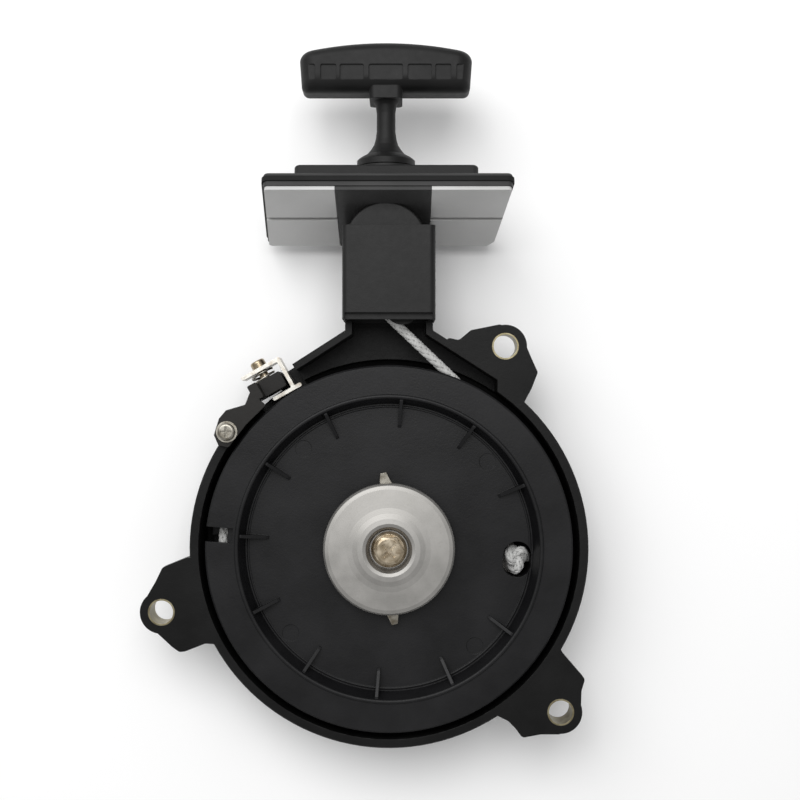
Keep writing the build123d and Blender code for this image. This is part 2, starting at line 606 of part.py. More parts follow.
def make_case():
    """Die-cast case: shell, centre post, spring anchor, neck screw bosses and the stop slide's window."""
    case = case_shell()
    post = [(0, 2), (14, 2), (POST_R + 2.6, 4.2), (POST_R, 4.2), (POST_R, POST_TOP_Z), (0, POST_TOP_Z)]
    case += turned(post)
    case -= rod(BOLT_R, BOLT_TIP_Z - 2, POST_TOP_Z + 1)
    case -= block(CUP_BORE_R - 1, SPRING_CUP_R + 0.4, -0.7, 1.7, WALL, BOWL_FLOOR_Z)
    case -= rod(ROLLER_PIN_R, TONGUE_Z - 1, 26, ROLLER_X, ROLLER_Y)
    for x, y in neck_screw_places():
        case -= rod(NECK_SCREW_R + 0.3, TONGUE_Z - 1, 26, x, y)
    case -= stop_block(FOOT_S - 2, 120.0, BLOCK_T0 - 1.2, FOOT_T1 + 1.6, BOWL_FLOOR_Z, RIM_Z + 2)
    case -= rod(SCREW_R, SCREW_TIP_Z - 1, RIM_Z + 1, *polar(SCREW_PLACE_R, SCREW_ANGLE))
    return case


def make_collars():
    """Steel collars pressed into the three lugs."""
    low = RIM_Z - LUG_LENGTH
    return Compound(children=[ring(COLLAR_R, COLLAR_BORE_R, low, RIM_Z, *polar(r, a)) for r, a in LUG_PLACES])


# ---- rope outlet ------------------------------------------------------------------------------------------
def neck_screw_places():
    """Centres of the four screws that hold the neck housing on the case's tongue."""
    return [(x, y) for x in (-15.5, 15.5) for y in (134.0, 150.0)]


def make_neck_housing():
    """Moulded neck: box over the roller, upright round nose, and the spigot that enters the front plate."""
    half = NECK_W / 2
    body = block(-half, half, NECK_START_Y, NECK_END_Y, NECK_BACK_Z, NECK_FRONT_Z)
    body = rounded(body, body.edges().filter_by(Axis.Y), 3.0)
    step_end, step_low = NECK_START_Y + 3.2, NECK_FRONT_Z - 3
    body -= block(-half + 1.2, half - 1.2, NECK_START_Y - 1, step_end, step_low, NECK_FRONT_Z + 1)
    inside = half - NECK_WALL
    roof_z = NECK_FRONT_Z - NECK_WALL - 0.2
    body -= block(-inside, inside, NECK_START_Y - 1, NOSE_Y - 10.4, NECK_BACK_Z + 3, roof_z)
    nose = rod(NOSE_R, NECK_BACK_Z, NOSE_TOP_Z, ROPE_X, NOSE_Y)
    nose -= block(-40, 40, 100, NECK_END_Y - 1, NECK_BACK_Z - 1, NOSE_TOP_Z + 1)
    body += rounded(nose, nose.edges().filter_by(GeomType.CIRCLE), 1.2)
    body -= slab(200, 200, -PANEL_T, 60, 1.0)
    spigot = rod_y(SPIGOT_R, NECK_END_Y - 1, SPIGOT_END_Y, x=ROPE_X, z=PLATE_MID_Z)
    body += spigot - slab(90, 90, SPIGOT_DEPTH, 40, 1.0)
    body -= rod_y(5.5, NOSE_Y - 12, SPIGOT_END_Y + 1, x=ROPE_X)
    body -= rod_y(EYELET_R, SPIGOT_END_Y - EYELET_LENGTH, SPIGOT_END_Y + 1, x=ROPE_X)
    for x, y in neck_screw_places():
        body -= rod(NECK_SCREW_R, NECK_BACK_Z - 1, NECK_BACK_Z + 9, x, y)
    body -= rod(ROLLER_PIN_R, NECK_BACK_Z - 1, NECK_FRONT_Z - 2, ROLLER_X, ROLLER_Y)
    return body


def make_neck_screws():
    """Pan-head screws from the tongue's back into the neck housing."""
    screws = []
    face_z = TONGUE_Z - 2.4
    for x, y in neck_screw_places():
        head = rod(NECK_SCREW_HEAD_R, face_z, TONGUE_Z, x, y)
        head = rounded(head, head.edges().sort_by(Axis.Z)[:1], 1.4)
        head -= cross_slots(1.0, 5.2, 1.1, face_z, x, y)
        screws.append(head + rod(NECK_SCREW_R, TONGUE_Z - 0.5, NECK_BACK_Z + 8, x, y))
    return Compound(children=screws)


def make_roller():
    """Grooved guide roller that turns the rope from the neck towards the sheave."""
    half = ROLLER_W / 2
    core = ROLLER_PITCH_R - ROPE_D / 2 - 0.15
    points = [(ROLLER_PIN_R + RUNNING_GAP, -half), (ROLLER_FLANGE_R, -half), (ROLLER_FLANGE_R, -half + 1.6)]
    points += [(core + 0.9, -2.9), (core, -1.6), (core, 1.6), (core + 0.9, 2.9)]
    points += [(ROLLER_FLANGE_R, half - 1.6), (ROLLER_FLANGE_R, half), (ROLLER_PIN_R + RUNNING_GAP, half)]
    return Pos(ROLLER_X, ROLLER_Y, ROPE_Z) * turned(points)


def make_roller_pin():
    """Steel pin of the guide roller, from the case's tongue to the housing's roof."""
    return rod(ROLLER_PIN_R, TONGUE_Z, NECK_FRONT_Z - 2, ROLLER_X, ROLLER_Y)


def make_rope_eyelet():
    """Polished eyelet in the spigot's mouth."""
    start, end = SPIGOT_END_Y - EYELET_LENGTH, SPIGOT_END_Y - 0.4
    outline = [
        (EYELET_BORE_R, start + 1.5),
        (EYELET_BORE_R + 1.0, start),
        (EYELET_R, start),
        (EYELET_R, end),
        (EYELET_BORE_R + 1.0, end),
        (EYELET_BORE_R, end - 1.5),
    ]
    wire = Polyline([(r + ROPE_X, y, ROPE_Z) for r, y in outline], close=True)
    axis = Axis((ROPE_X, 0, ROPE_Z), (0, 1, 0))
    return revolve(make_face(wire), axis)


# ---- front plate ------------------------------------------------------------------------------------------
def plate_plane():
    """Plane of the front plate's back face: local Z points away from the sheave, local Y towards the back."""
    lean = radians(PLATE_TILT)
    normal = (0, cos(lean), -sin(lean))
    return Plane(origin=(0, PLATE_BACK_Y, PLATE_MID_Z), x_dir=(1, 0, 0), z_dir=normal)


def slab(width, height, low, high, corner, x=0.0):
    """Round-cornered slab in the front plate's plane, between two distances from its back face."""
    flat = extrude(RectangleRounded(width, height, corner), high - low)
    return plate_plane() * Pos(x, 0, low) * flat


def plate_layer(grow, low, high):
    """Layer on the front plate's own outline, grown all round, between two distances from its back face."""
    flat = make_face(Polyline(FRONT_PLAN, close=True))
    flat = fillet(flat.vertices(), FRONT_CORNER_R)
    if grow:
        flat = offset(flat, grow)
    return plate_plane() * Pos(0, 0, low) * extrude(flat, high - low)


def front_edges(shape):
    """Edges of the face furthest out along the front plate's normal."""
    lean = radians(PLATE_TILT)
    outwards = Axis((0, 0, 0), (0, cos(lean), -sin(lean)))
    return shape.faces().sort_by(outwards)[-1].edges()


def front_hole(radius):
    """Hole along the rope through everything at the front plate."""
    return rod_y(radius, 140, 215, x=ROPE_X)


def make_front_plate():
    """Black moulded plate that closes the cowl's opening, with the spigot's seat in its back."""
    plate = plate_layer(0, 0, FRONT_T)
    plate = rounded(plate, front_edges(plate), 1.2)
    plate -= spigot_room() & slab(90, 90, -20, SPIGOT_DEPTH, 1.0)
    plate -= front_hole(6.5)
    for place in plate_screw_places():
        plate -= place * plate_screw_body()
    return plate


def spigot_room():
    """Round room for the neck's spigot."""
    return rod_y(SPIGOT_R + 0.15, 140, 200, x=ROPE_X, z=PLATE_MID_Z)


def make_cowl_seal():
    """Rubber seal let in round the front plate's edge."""
    return plate_layer(SEAL_PROUD, SEAL_LOW, SEAL_HIGH) - plate_layer(0, -1, FRONT_T + 1)


def make_back_panels():
    """Pale grey panels on the plate's back, each side of the dark middle and split by a narrow gap."""
    sheet = plate_layer(-PANEL_INSET, -PANEL_T, 0)
    sheet -= slab(SOCKET_W + 0.4, 90, -PANEL_T - 1, 1, 1.0, SOCKET_X)
    sheet -= slab(200, PANEL_GAP, -PANEL_T - 1, 1, 0.5)
    return Compound(children=list(sheet.solids()))


def make_plate_socket():
    """Black middle of the plate's back, round the neck's spigot."""
    middle = plate_layer(-PANEL_INSET, -PANEL_T, 0) & slab(SOCKET_W, 90, -PANEL_T - 1, 1, 1.0, SOCKET_X)
    return middle - spigot_room()


def plate_screw_places():
    """Places of the four screws that hold the plate and the seat together."""
    return [plate_plane() * Pos(SEAT_X + x, v, 0) for x in (-38.0, 38.0) for v in (-15.0, 15.0)]


def plate_screw_body():
    """Countersunk screw along the front plate's normal, its head flush with the seat's face."""
    face = FRONT_T + SEAT_T
    neck = face - PLATE_SCREW_HEAD_T
    shank = rod(PLATE_SCREW_R, PLATE_SCREW_TIP, neck + 0.1)
    return shank + Pos(0, 0, face - PLATE_SCREW_HEAD_T / 2) * Cone(
        PLATE_SCREW_R, PLATE_SCREW_HEAD_R, PLATE_SCREW_HEAD_T
    )


def make_plate_screws():
    """Countersunk screws from the seat into the front plate."""
    screw = plate_screw_body() - cross_slots(0.9, 4.6, 0.9, FRONT_T + SEAT_T)
    return Compound(children=[place * screw for place in plate_screw_places()])


def make_handle_seat():
    """Raised pad on the plate's front with the round boss that the handle's foot rests on."""
    seat = slab(SEAT_W, SEAT_H, FRONT_T, FRONT_T + SEAT_T, 3.0, SEAT_X)
    seat = rounded(seat, front_edges(seat), 1.0)
    boss = rod_y(SEAT_BOSS_R, 165, SEAT_BOSS_Y, x=ROPE_X)
    seat += boss - slab(200, 200, -40, FRONT_T, 3.0)
    seat -= front_hole(5.0)
    for place in plate_screw_places():
        seat -= place * plate_screw_body()
    return seat


# ---- handle -----------------------------------------------------------------------------------------------
def make_grip():
    """T-shaped pull handle: crowned bar with finger recesses, slender stem and trumpet foot."""
    half = GRIP_W / 2
    bottom = GRIP_BOTTOM_Y
    outline = Wire(
        [
            Line((-half + 1.4, bottom), (half - 1.4, bottom)).edge(),
            Line((half - 1.4, bottom), (half, GRIP_END_Y)).edge(),
            ThreePointArc((half, GRIP_END_Y), (0, GRIP_TOP_Y), (-half, GRIP_END_Y)).edge(),
            Line((-half, GRIP_END_Y), (-half + 1.4, bottom)).edge(),
        ]
    )
    bar = Pos(0, 0, ROPE_Z - GRIP_T / 2) * extrude(make_face(outline), GRIP_T)
    corners = bar.edges().filter_by(Axis.Z).group_by(Axis.Y)
    bar = rounded(bar, corners[0], 3.0)
    low_edges = [e for e in bar.edges() if e.center().Y < bottom + 0.5 and abs(e.center().X) < 1]
    bar = rounded(bar, low_edges, 8.0)
    crown = bar.edges().filter_by(GeomType.CIRCLE).group_by(SortBy.LENGTH)[-1]
    bar = rounded(bar, crown, 5.0)
    for side in (-1, 1):
        face_z = ROPE_Z + side * GRIP_T / 2
        for x, width in grip_recesses():
            left, right = x - width / 2, x + width / 2
            cut = block(left, right, RECESS_Y0, RECESS_Y1, face_z - RECESS_DEPTH, face_z + RECESS_DEPTH)
            bar -= rounded(cut, cut.edges().filter_by(Axis.Z), 0.9)
    collar = Pos(0, (COLLAR_Y0 + COLLAR_Y1) / 2, ROPE_Z) * Box(COLLAR_W, COLLAR_Y1 - COLLAR_Y0, COLLAR_T)
    bar += rounded(collar, collar.edges().filter_by(Axis.Y), 3.0)
    grip = bar + make_stem()
    grip -= rod_y(ROPE_HOLE_R, FOOT_Y - 1, KNOT_ROOM_Y + 1)
    grip -= rod_y(KNOT_ROOM_R, KNOT_ROOM_Y, GRIP_TOP_Y + 2)
    return Pos(ROPE_X, 0, 0) * grip


def grip_recesses():
    """Centres and widths of the finger recesses along the bar, thin webs left between them."""
    centre, near, far, last = (0.0, 16.8), (16.8, 11.8), (28.4, 7.8), (37.4, 4.9)
    pairs = [(sign * x, w) for x, w in (near, far, last) for sign in (-1, 1)]
    return [centre] + pairs


def make_stem():
    """Stem and trumpet foot, turned about the rope."""
    profile = [
        (0, FOOT_Y),
        (FOOT_R, FOOT_Y),
        (FOOT_R, FOOT_Y + 2.9),
        (FOOT_R - 0.8, FOOT_Y + 3.7),
        (12.2, FOOT_Y + 4.8),
        (9.6, FOOT_Y + 6.2),
        (7.6, FOOT_Y + 8.6),
        (6.1, FOOT_Y + 11.0),
        (5.3, FOOT_Y + 13.8),
        (STEM_R, FOOT_Y + 18),
        (STEM_R, FOOT_Y + 27),
        (STEM_TOP_R, COLLAR_Y0 - 1.6),
        (STEM_TOP_R + 1.4, COLLAR_Y0 + 0.5),
        (STEM_TOP_R + 1.4, COLLAR_Y1),
        (0, COLLAR_Y1),
    ]
    wire = Polyline([(r, y, ROPE_Z) for r, y in profile], close=True)
    return revolve(make_face(wire), Axis((0, 0, ROPE_Z), (0, 1, 0)))


def make_grip_cap():
    """Plug over the handle's knot, flush with the crown."""
    plug = rod_y(KNOT_ROOM_R, CAP_Y, GRIP_TOP_Y - 0.15, x=ROPE_X)
    return rounded(plug, plug.edges().sort_by(Axis.Y)[-1:], 0.8)


# ---- stop slide -------------------------------------------------------------------------------------------
def stop_block(s0, s1, t0, t1, z0, z1):
    """Box in the stop slide's axes."""
    return Rot(0, 0, STOP_ANGLE) * block(s0, s1, -t1, -t0, z0, z1)


def stop_rod(radius, s0, s1, t=STOP_PIN_T, z=None):
    """Rod along S in the stop slide's axes."""
    height = STOP_Z + STOP_H / 2 if z is None else z
    return Rot(0, 0, STOP_ANGLE) * Pos((s0 + s1) / 2, -t, height) * Rot(0, 90, 0) * Cylinder(radius, s1 - s0)


def make_stop_bracket():
    """Moulded guide for the slide, with an arm on the case's rim to its screw."""
    guide = stop_block(BLOCK_S0, BLOCK_S1, BLOCK_T0, BLOCK_T1, BOWL_FLOOR_Z + 0.2, BLOCK_TOP_Z)
    guide += stop_block(BLOCK_S0, BLOCK_S1, BLOCK_T0, SHOULDER_T, BOWL_FLOOR_Z + 0.2, RIM_Z + ARM_T)
    guide = rounded(guide, guide.edges().filter_by(Axis.Z), 0.8)
    arm = prism([polar(r, a) for r, a in ARM_PLAN], RIM_Z, RIM_Z + ARM_T)
    arm = rounded(arm, arm.edges().filter_by(Axis.Z), 0.9)
    bracket = guide + arm - rod(SCREW_R, RIM_Z - 1, RIM_Z + ARM_T + 1, *polar(SCREW_PLACE_R, SCREW_ANGLE))
    bracket -= stop_rod(STOP_PIN_R + RUNNING_GAP, BLOCK_S0 - 1, BLOCK_S1 + 1)
    return bracket - stop_rod(SPRING_POCKET_R, BLOCK_S1 - SPRING_POCKET_D, BLOCK_S1 + 1)


def make_stop_slide():
    """Bent steel strip: outer leg, side leg and the foot that drops into a lock notch."""
    z0, z1 = STOP_Z, STOP_Z + STOP_H
    leg_end = LEG_S + STOP_SHEET
    leg = stop_block(LEG_S, leg_end, LEG_T0, LEG_T1, z0, z1)
    side = stop_block(FOOT_S, leg_end, SIDE_T, SIDE_T + STOP_SHEET, z0, z1)
    foot = stop_block(FOOT_S, FOOT_S + STOP_SHEET, FOOT_T0, FOOT_T1, z0, z1)
    strip = leg + side + foot
    strip = rounded(strip, strip.edges().filter_by(Axis.Z), 0.7)
    return strip - stop_rod(STOP_PIN_R, LEG_S - 1, leg_end + 1)


def make_stop_pin():
    """Headed guide pin riveted in the slide's outer leg."""
    s = LEG_S + STOP_SHEET
    shank = stop_rod(STOP_PIN_R, BLOCK_S0 + 2.4, s)
    head = stop_rod(STOP_PIN_HEAD_R, s, s + STOP_PIN_HEAD_T)
    outer = head.faces().sort_by(Axis((0, 0, 0), (*polar(1, STOP_ANGLE), 0)))[-1]
    return shank + rounded(head, outer.edges(), 1.2)


def make_stop_spring():
    """Return spring of the slide between the guide and the outer leg, one coiled wire."""
    wire, coil_r, turns = 0.6, 5.8, 3.5
    low, high = BLOCK_S1 - SPRING_POCKET_D + wire, LEG_S - wire
    height = high - low
    helix = Helix(height / turns, height, coil_r)
    section = Plane(origin=helix @ 0, z_dir=helix % 0) * Circle(wire)
    coil = sweep(section, path=helix)
    place = Pos(low, -STOP_PIN_T, STOP_Z + STOP_H / 2) * Rot(0, 90, 0)
    return Rot(0, 0, STOP_ANGLE) * place * coil


def make_bracket_screw():
    """Pan-head screw through the bracket's arm into the boss on the case."""
    x, y = polar(SCREW_PLACE_R, SCREW_ANGLE)
    seat_z = RIM_Z + ARM_T + WASHER_T
    head = rod(SCREW_HEAD_R, seat_z, seat_z + SCREW_HEAD_T, x, y)
    head = rounded(head, head.edges().sort_by(Axis.Z)[-1:], 1.4)
    head -= cross_slots(1.1, 5.4, 1.6, seat_z + SCREW_HEAD_T, x, y)
    return head + rod(SCREW_R, SCREW_TIP_Z, seat_z + 0.2, x, y)


def make_bracket_washer():
    """Washer under the bracket screw's head."""
    base = RIM_Z + ARM_T
    return ring(WASHER_R, SCREW_R, base, base + WASHER_T, *polar(SCREW_PLACE_R, SCREW_ANGLE))


# ---- nodes ------------------------------------------------------------------------------------------------
def build():
    """Every node of the recoil starter, by name."""
    return {
        "case": make_case(),
        "lug_collars": make_collars(),
        "post_sleeve": ring(SLEEVE_R, POST_R, 4.2, POST_TOP_Z),
        "plate_spacer": ring(SPACER_R, BOLT_R, POST_TOP_Z, BOLT_SEAT_Z),
        "centre_bolt": make_centre_bolt(),
        "power_spring": make_power_spring(),
        "spring_cover": make_spring_cover(),
        "drag_clip": make_drag_clip(),
        "neck_housing": make_neck_housing(),
        "neck_screws": make_neck_screws(),
        "guide_roller": make_roller(),
        "roller_pin": make_roller_pin(),
        "rope_eyelet": make_rope_eyelet(),
        "front_plate": make_front_plate(),
        "cowl_seal": make_cowl_seal(),
        "back_panels": make_back_panels(),
        "plate_socket": make_plate_socket(),
        "plate_screws": make_plate_screws(),
        "handle_seat": make_handle_seat(),
        "stop_bracket": make_stop_bracket(),
        "bracket_screw": make_bracket_screw(),
        "bracket_washer": make_bracket_washer(),
        "stop_slide": make_stop_slide(),
        "stop_pin": make_stop_pin(),
        "stop_spring": make_stop_spring(),
        "sheave": make_sheave(),
        "hub_bush": ring(BUSH_R, SLEEVE_R + RUNNING_GAP, HUB_BOTTOM_Z, HUB_TOP_Z),
        "pawl_pins": make_pawl_pins(),
        "drive_plate": make_drive_plate(),
        "pawl_a": place_pawl(0),
        "pawl_b": place_pawl(1),
        "rope_wound": make_rope_wound(),
        "rope_tail": make_rope_tail(),
        "rope_run": make_rope_run(),
        "rope_grip_end": make_rope_grip_end(),
        "handle_grip": make_grip(),
        "grip_cap": make_grip_cap(),
    }


os.makedirs(OUT, exist_ok=True)
for node, solid in build().items():
    save(node, solid)
print("rope tangent angle", round(TANGENT_ANGLE, 2), "wound length", round(WOUND_LENGTH, 1))
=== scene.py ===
import json
import math

import bpy
import numpy as np
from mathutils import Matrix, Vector


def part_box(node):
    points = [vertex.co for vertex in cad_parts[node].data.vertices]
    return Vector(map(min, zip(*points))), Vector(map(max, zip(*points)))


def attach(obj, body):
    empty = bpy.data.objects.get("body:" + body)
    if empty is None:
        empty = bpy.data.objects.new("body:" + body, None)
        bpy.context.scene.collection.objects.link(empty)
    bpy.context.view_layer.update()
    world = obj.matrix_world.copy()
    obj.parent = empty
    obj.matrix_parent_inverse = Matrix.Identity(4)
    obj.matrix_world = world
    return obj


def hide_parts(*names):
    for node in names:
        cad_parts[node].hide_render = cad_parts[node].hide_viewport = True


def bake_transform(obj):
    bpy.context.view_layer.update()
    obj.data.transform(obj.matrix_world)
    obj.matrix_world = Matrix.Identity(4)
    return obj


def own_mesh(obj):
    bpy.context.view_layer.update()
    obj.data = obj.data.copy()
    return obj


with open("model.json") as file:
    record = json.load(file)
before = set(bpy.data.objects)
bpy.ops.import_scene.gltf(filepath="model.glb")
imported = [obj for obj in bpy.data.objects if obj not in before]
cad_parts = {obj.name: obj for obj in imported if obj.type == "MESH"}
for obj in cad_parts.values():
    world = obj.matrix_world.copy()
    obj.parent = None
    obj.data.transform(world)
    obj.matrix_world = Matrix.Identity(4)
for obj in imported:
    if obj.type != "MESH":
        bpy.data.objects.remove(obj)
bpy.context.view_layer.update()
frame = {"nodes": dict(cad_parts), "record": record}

# ---- sizes shared with the CAD model, in metres --------------------------------------------------------
ROPE_R = 0.0025
ROPE_Z = 0.0427
ROPE_LEAD = 0.0055
SHEAVE_PITCH_R = 0.084
KNOT_R, KNOT_ANGLE = 0.065, math.radians(-5.4)
FULL_TURNS = 3
ROLLER = (0.0065, 0.1210)
ROLLER_PITCH_R = 0.0080
FOOT_Y = 0.1916
HANDLE_KNOT_Y = 0.2402
DRUM_TURN = math.radians(990)
PULL_TRAVEL = SHEAVE_PITCH_R * DRUM_TURN
STOP_ANGLE = math.radians(119.1)

# ---- camera, floor and light ---------------------------------------------------------------------------


def make_camera():
    """Camera straight over the open side, as in a product photograph on a table."""
    data = bpy.data.cameras.new("Camera")
    data.sensor_width = 36.0
    data.lens = 55.8
    data.clip_start = 0.01
    camera = bpy.data.objects.new("Camera", data)
    camera.location = (0.0055, 0.0745, 0.667)
    bpy.context.scene.collection.objects.link(camera)
    bpy.context.scene.camera = camera


def make_floor():
    """Plain pale floor under the case's back."""
    half = 3.0
    mesh = bpy.data.meshes.new("floor")
    corners = [(-half, -half, 0), (half, -half, 0), (half, half, 0), (-half, half, 0)]
    mesh.from_pydata(corners, [], [(0, 1, 2, 3)])
    floor = bpy.data.objects.new("floor", mesh)
    floor.location.z = -0.0004
    bpy.context.scene.collection.objects.link(floor)
    material = bpy.data.materials.new("floor_white")
    material.use_nodes = True
    shader = material.node_tree.nodes["Principled BSDF"]
    shader.inputs["Base Color"].default_value = (0.93, 0.93, 0.93, 1)
    shader.inputs["Roughness"].default_value = 0.9
    shader.inputs["Specular IOR Level"].default_value = 0.1
    mesh.materials.append(material)


def area_light(name, place, target, size, power, colour=(1, 1, 1)):
    """Square soft box aimed at a point."""
    data = bpy.data.lights.new(name, "AREA")
    data.shape = "SQUARE"
    data.size = size
    data.energy = power
    data.color = colour
    light = bpy.data.objects.new(name, data)
    light.location = place
    aim = Vector(target) - Vector(place)
    light.rotation_euler = aim.to_track_quat("-Z", "Y").to_euler()
    bpy.context.scene.collection.objects.link(light)


def make_lights():
    """White room with a soft box high over the handle's end and a weaker, wider one beside it."""
    world = bpy.data.worlds.new("studio")
    world.use_nodes = True
    background = world.node_tree.nodes["Background"]
    background.inputs["Color"].default_value = (1, 1, 1, 1)
    background.inputs["Strength"].default_value = 0.56
    bpy.context.scene.world = world
    middle = (0.0, 0.05, 0.03)
    area_light("key", (0.00, 0.58, 1.25), middle, 0.80, 7.5)
    area_light("fill", (-0.60, 0.75, 1.05), middle, 1.00, 8.0)
    bpy.context.scene.view_settings.view_transform = "Standard"


# ---- shader building -----------------------------------------------------------------------------------


class Shader:
    """A material's node tree, with short calls for the nodes that this scene needs."""

    def __init__(self, name):
        self.material = bpy.data.materials.new(name)
        self.material.use_nodes = True
        self.tree = self.material.node_tree
        self.surface = self.tree.nodes["Principled BSDF"]
        self.place = self.node("ShaderNodeTexCoord").outputs["Object"]

    def node(self, kind, **settings):
        made = self.tree.nodes.new(kind)
        for key, value in settings.items():
            setattr(made, key, value)
        return made

    def link(self, source, socket):
        if isinstance(source, bpy.types.NodeSocket):
            self.tree.links.new(source, socket)
        else:
            socket.default_value = source

    def noise(self, size, detail=2.0, stretch=(1, 1, 1), place=None):
        """Noise whose cells are about size metres across."""
        mapping = self.node("ShaderNodeMapping")
        self.link(place or self.place, mapping.inputs["Vector"])
        mapping.inputs["Scale"].default_value = [s / size for s in stretch]
        made = self.node("ShaderNodeTexNoise")
        made.inputs["Scale"].default_value = 1.0
        made.inputs["Detail"].default_value = detail
        self.link(mapping.outputs["Vector"], made.inputs["Vector"])
        return made.outputs["Fac"]

    def math(self, operation, a, b=0.0):
        made = self.node("ShaderNodeMath", operation=operation)
        self.link(a, made.inputs[0])
        self.link(b, made.inputs[1])
        return made.outputs[0]

    def spread(self, value, low, high, to_low=0.0, to_high=1.0):
        """Value mapped from one range to another, clamped."""
        made = self.node("ShaderNodeMapRange")
        self.link(value, made.inputs["Value"])
        for key, number in (("From Min", low), ("From Max", high), ("To Min", to_low), ("To Max", to_high)):
            made.inputs[key].default_value = number
        return made.outputs["Result"]

    def mix(self, share, first, second):
        made = self.node("ShaderNodeMix", data_type="RGBA")
        self.link(share, made.inputs["Factor"])
        for socket, colour in zip((made.inputs[6], made.inputs[7]), (first, second)):
            self.link((*colour, 1) if isinstance(colour, tuple) else colour, socket)
        return made.outputs[2]

    def soft_edges(self, radius):
        """Normal with its sharp edges rounded, and how near an edge the point is."""
        bevel = self.node("ShaderNodeBevel", samples=4)
        bevel.inputs["Radius"].default_value = radius
        flat = self.node("ShaderNodeNewGeometry")
        product = self.node("ShaderNodeVectorMath", operation="DOT_PRODUCT")
        self.link(bevel.outputs["Normal"], product.inputs[0])
        self.link(flat.outputs["Normal"], product.inputs[1])
        edge = self.spread(product.outputs["Value"], 0.995, 0.80)
        return bevel.outputs["Normal"], edge

    def bump(self, height, depth, normal=None, strength=1.0):
        made = self.node("ShaderNodeBump")
        made.inputs["Strength"].default_value = strength
        made.inputs["Distance"].default_value = depth
        self.link(height, made.inputs["Height"])
        if normal is not None:
            self.link(normal, made.inputs["Normal"])
        return made.outputs["Normal"]

    def set(self, **values):
        names = {
            "colour": "Base Color",
            "rough": "Roughness",
            "metal": "Metallic",
            "normal": "Normal",
            "sheen": "Sheen Weight",
            "specular": "Specular IOR Level",
            "coat": "Coat Weight",
            "coat_rough": "Coat Roughness",
            "subsurface": "Subsurface Weight",
        }
        for key, value in values.items():
            socket = self.surface.inputs[names[key]]
            self.link((*value, 1) if key == "colour" and isinstance(value, tuple) else value, socket)

    def radius_from(self, x, y):
        """Distance from an upright axis."""
        split = self.node("ShaderNodeSeparateXYZ")
        self.link(self.place, split.inputs[0])
        dx = self.math("SUBTRACT", split.outputs["X"], x)
        dy = self.math("SUBTRACT", split.outputs["Y"], y)
        square = self.math("ADD", self.math("MULTIPLY", dx, dx), self.math("MULTIPLY", dy, dy))
        return self.math("SQRT", square)


def moulded(name, dark, light, rough, grain, depth, worn, wear=0.5, specular=0.5):
    """Moulded plastic, rubber or painted casting: fine grain, cloudy tone, rubbed edges."""
    made = Shader(name)
    soft, edge = made.soft_edges(0.0004)
    cloud = made.noise(0.028, 4.0)
    fine = made.noise(grain, 2.0)
    speck = made.noise(grain * 4.2, 3.0)
    tone = made.mix(made.spread(cloud, 0.35, 0.68), dark, light)
    rubbed = made.math("MULTIPLY", edge, made.spread(speck, 0.45, 0.75, 0.0, wear))
    mottle = made.math("ADD", cloud, made.math("MULTIPLY", speck, 0.5))
    made.set(
        colour=made.mix(rubbed, tone, worn),
        rough=made.spread(mottle, 0.45, 1.05, rough - 0.07, rough + 0.08),
        normal=made.bump(made.math("ADD", fine, speck), depth, soft),
        specular=specular,
    )
    return made.material


def plated(name, dark, light, rough, grain=0.0005, depth=0.00001, stretch=(1, 1, 1), stain=None):
    """Plated or bright steel: fine directional grain, stains, and a painted highlight that lightens the
    edges.
    """
    made = Shader(name)
    soft, edge = made.soft_edges(0.00025)
    cloud = made.noise(0.006, 4.0)
    fine = made.noise(grain, 3.0, stretch)
    tone = made.mix(made.spread(cloud, 0.36, 0.66), dark, light)
    if stain:
        patch = made.spread(made.noise(0.0034, 3.0), 0.50, 0.70)
        tone = made.mix(made.math("MULTIPLY", patch, 0.65), tone, stain)
    # painted highlight: every edge is lightened towards a brighter copy of the light tone
    bright = tuple(min(1.0, c * 1.25) for c in light)
    mottle = made.math("ADD", cloud, made.math("MULTIPLY", fine, 0.6))
    made.set(
        colour=made.mix(made.math("MULTIPLY", edge, 0.6), tone, bright),
        rough=made.spread(mottle, 0.4, 1.1, rough - 0.08, rough + 0.12),
        metal=1.0,
        normal=made.bump(fine, depth, soft),
    )
    return made.material


def spun_plate(name):
    """Pressed and plated disc: fine rings about its axis, a cloudy tone and small dark specks."""
    made = Shader(name)
    soft, edge = made.soft_edges(0.0003)
    radius = made.radius_from(0.0, 0.0)
    ringed = made.node("ShaderNodeCombineXYZ")
    made.link(radius, ringed.inputs["X"])
    rings = made.noise(0.00035, 3.0, place=ringed.outputs["Vector"])
    cloud = made.noise(0.010, 4.0)
    speck = made.noise(0.0011, 3.0)
    tone = made.mix(made.spread(cloud, 0.35, 0.68), (0.33, 0.322, 0.306), (0.395, 0.385, 0.368))
    tone = made.mix(made.math("MULTIPLY", made.spread(speck, 0.58, 0.75), 0.25), tone, (0.25, 0.238, 0.22))
    made.set(
        # painted highlight: edges lightened towards a pale grey
        colour=made.mix(made.math("MULTIPLY", edge, 0.5), tone, (0.72, 0.72, 0.71)),
        rough=made.spread(made.math("ADD", rings, cloud), 0.7, 1.3, 0.48, 0.60),
        metal=1.0,
        normal=made.bump(rings, 0.000012, soft),
    )
    return made.material


def braid_fibre(name):
    """White polyester yarn: fine fibres, with painted shade: a faint grey speckle from fine noise standing
    in for shade in the hollows.
    """
    made = Shader(name)
    fine = made.noise(0.00022, 3.0)
    cloud = made.noise(0.006, 3.0)
    tone = made.mix(made.spread(cloud, 0.35, 0.7), (0.38, 0.38, 0.37), (0.54, 0.54, 0.53))
    made.set(
        # painted shade: fine noise darkens the yarn towards grey, standing in for shade in the hollows
        # between yarns
        colour=made.mix(made.spread(fine, 0.55, 0.8, 0.0, 0.5), tone, (0.24, 0.24, 0.23)),
        rough=made.spread(fine, 0.3, 0.7, 0.55, 0.8),
        sheen=0.3,
        normal=made.bump(fine, 0.00012),
    )
    return made.material


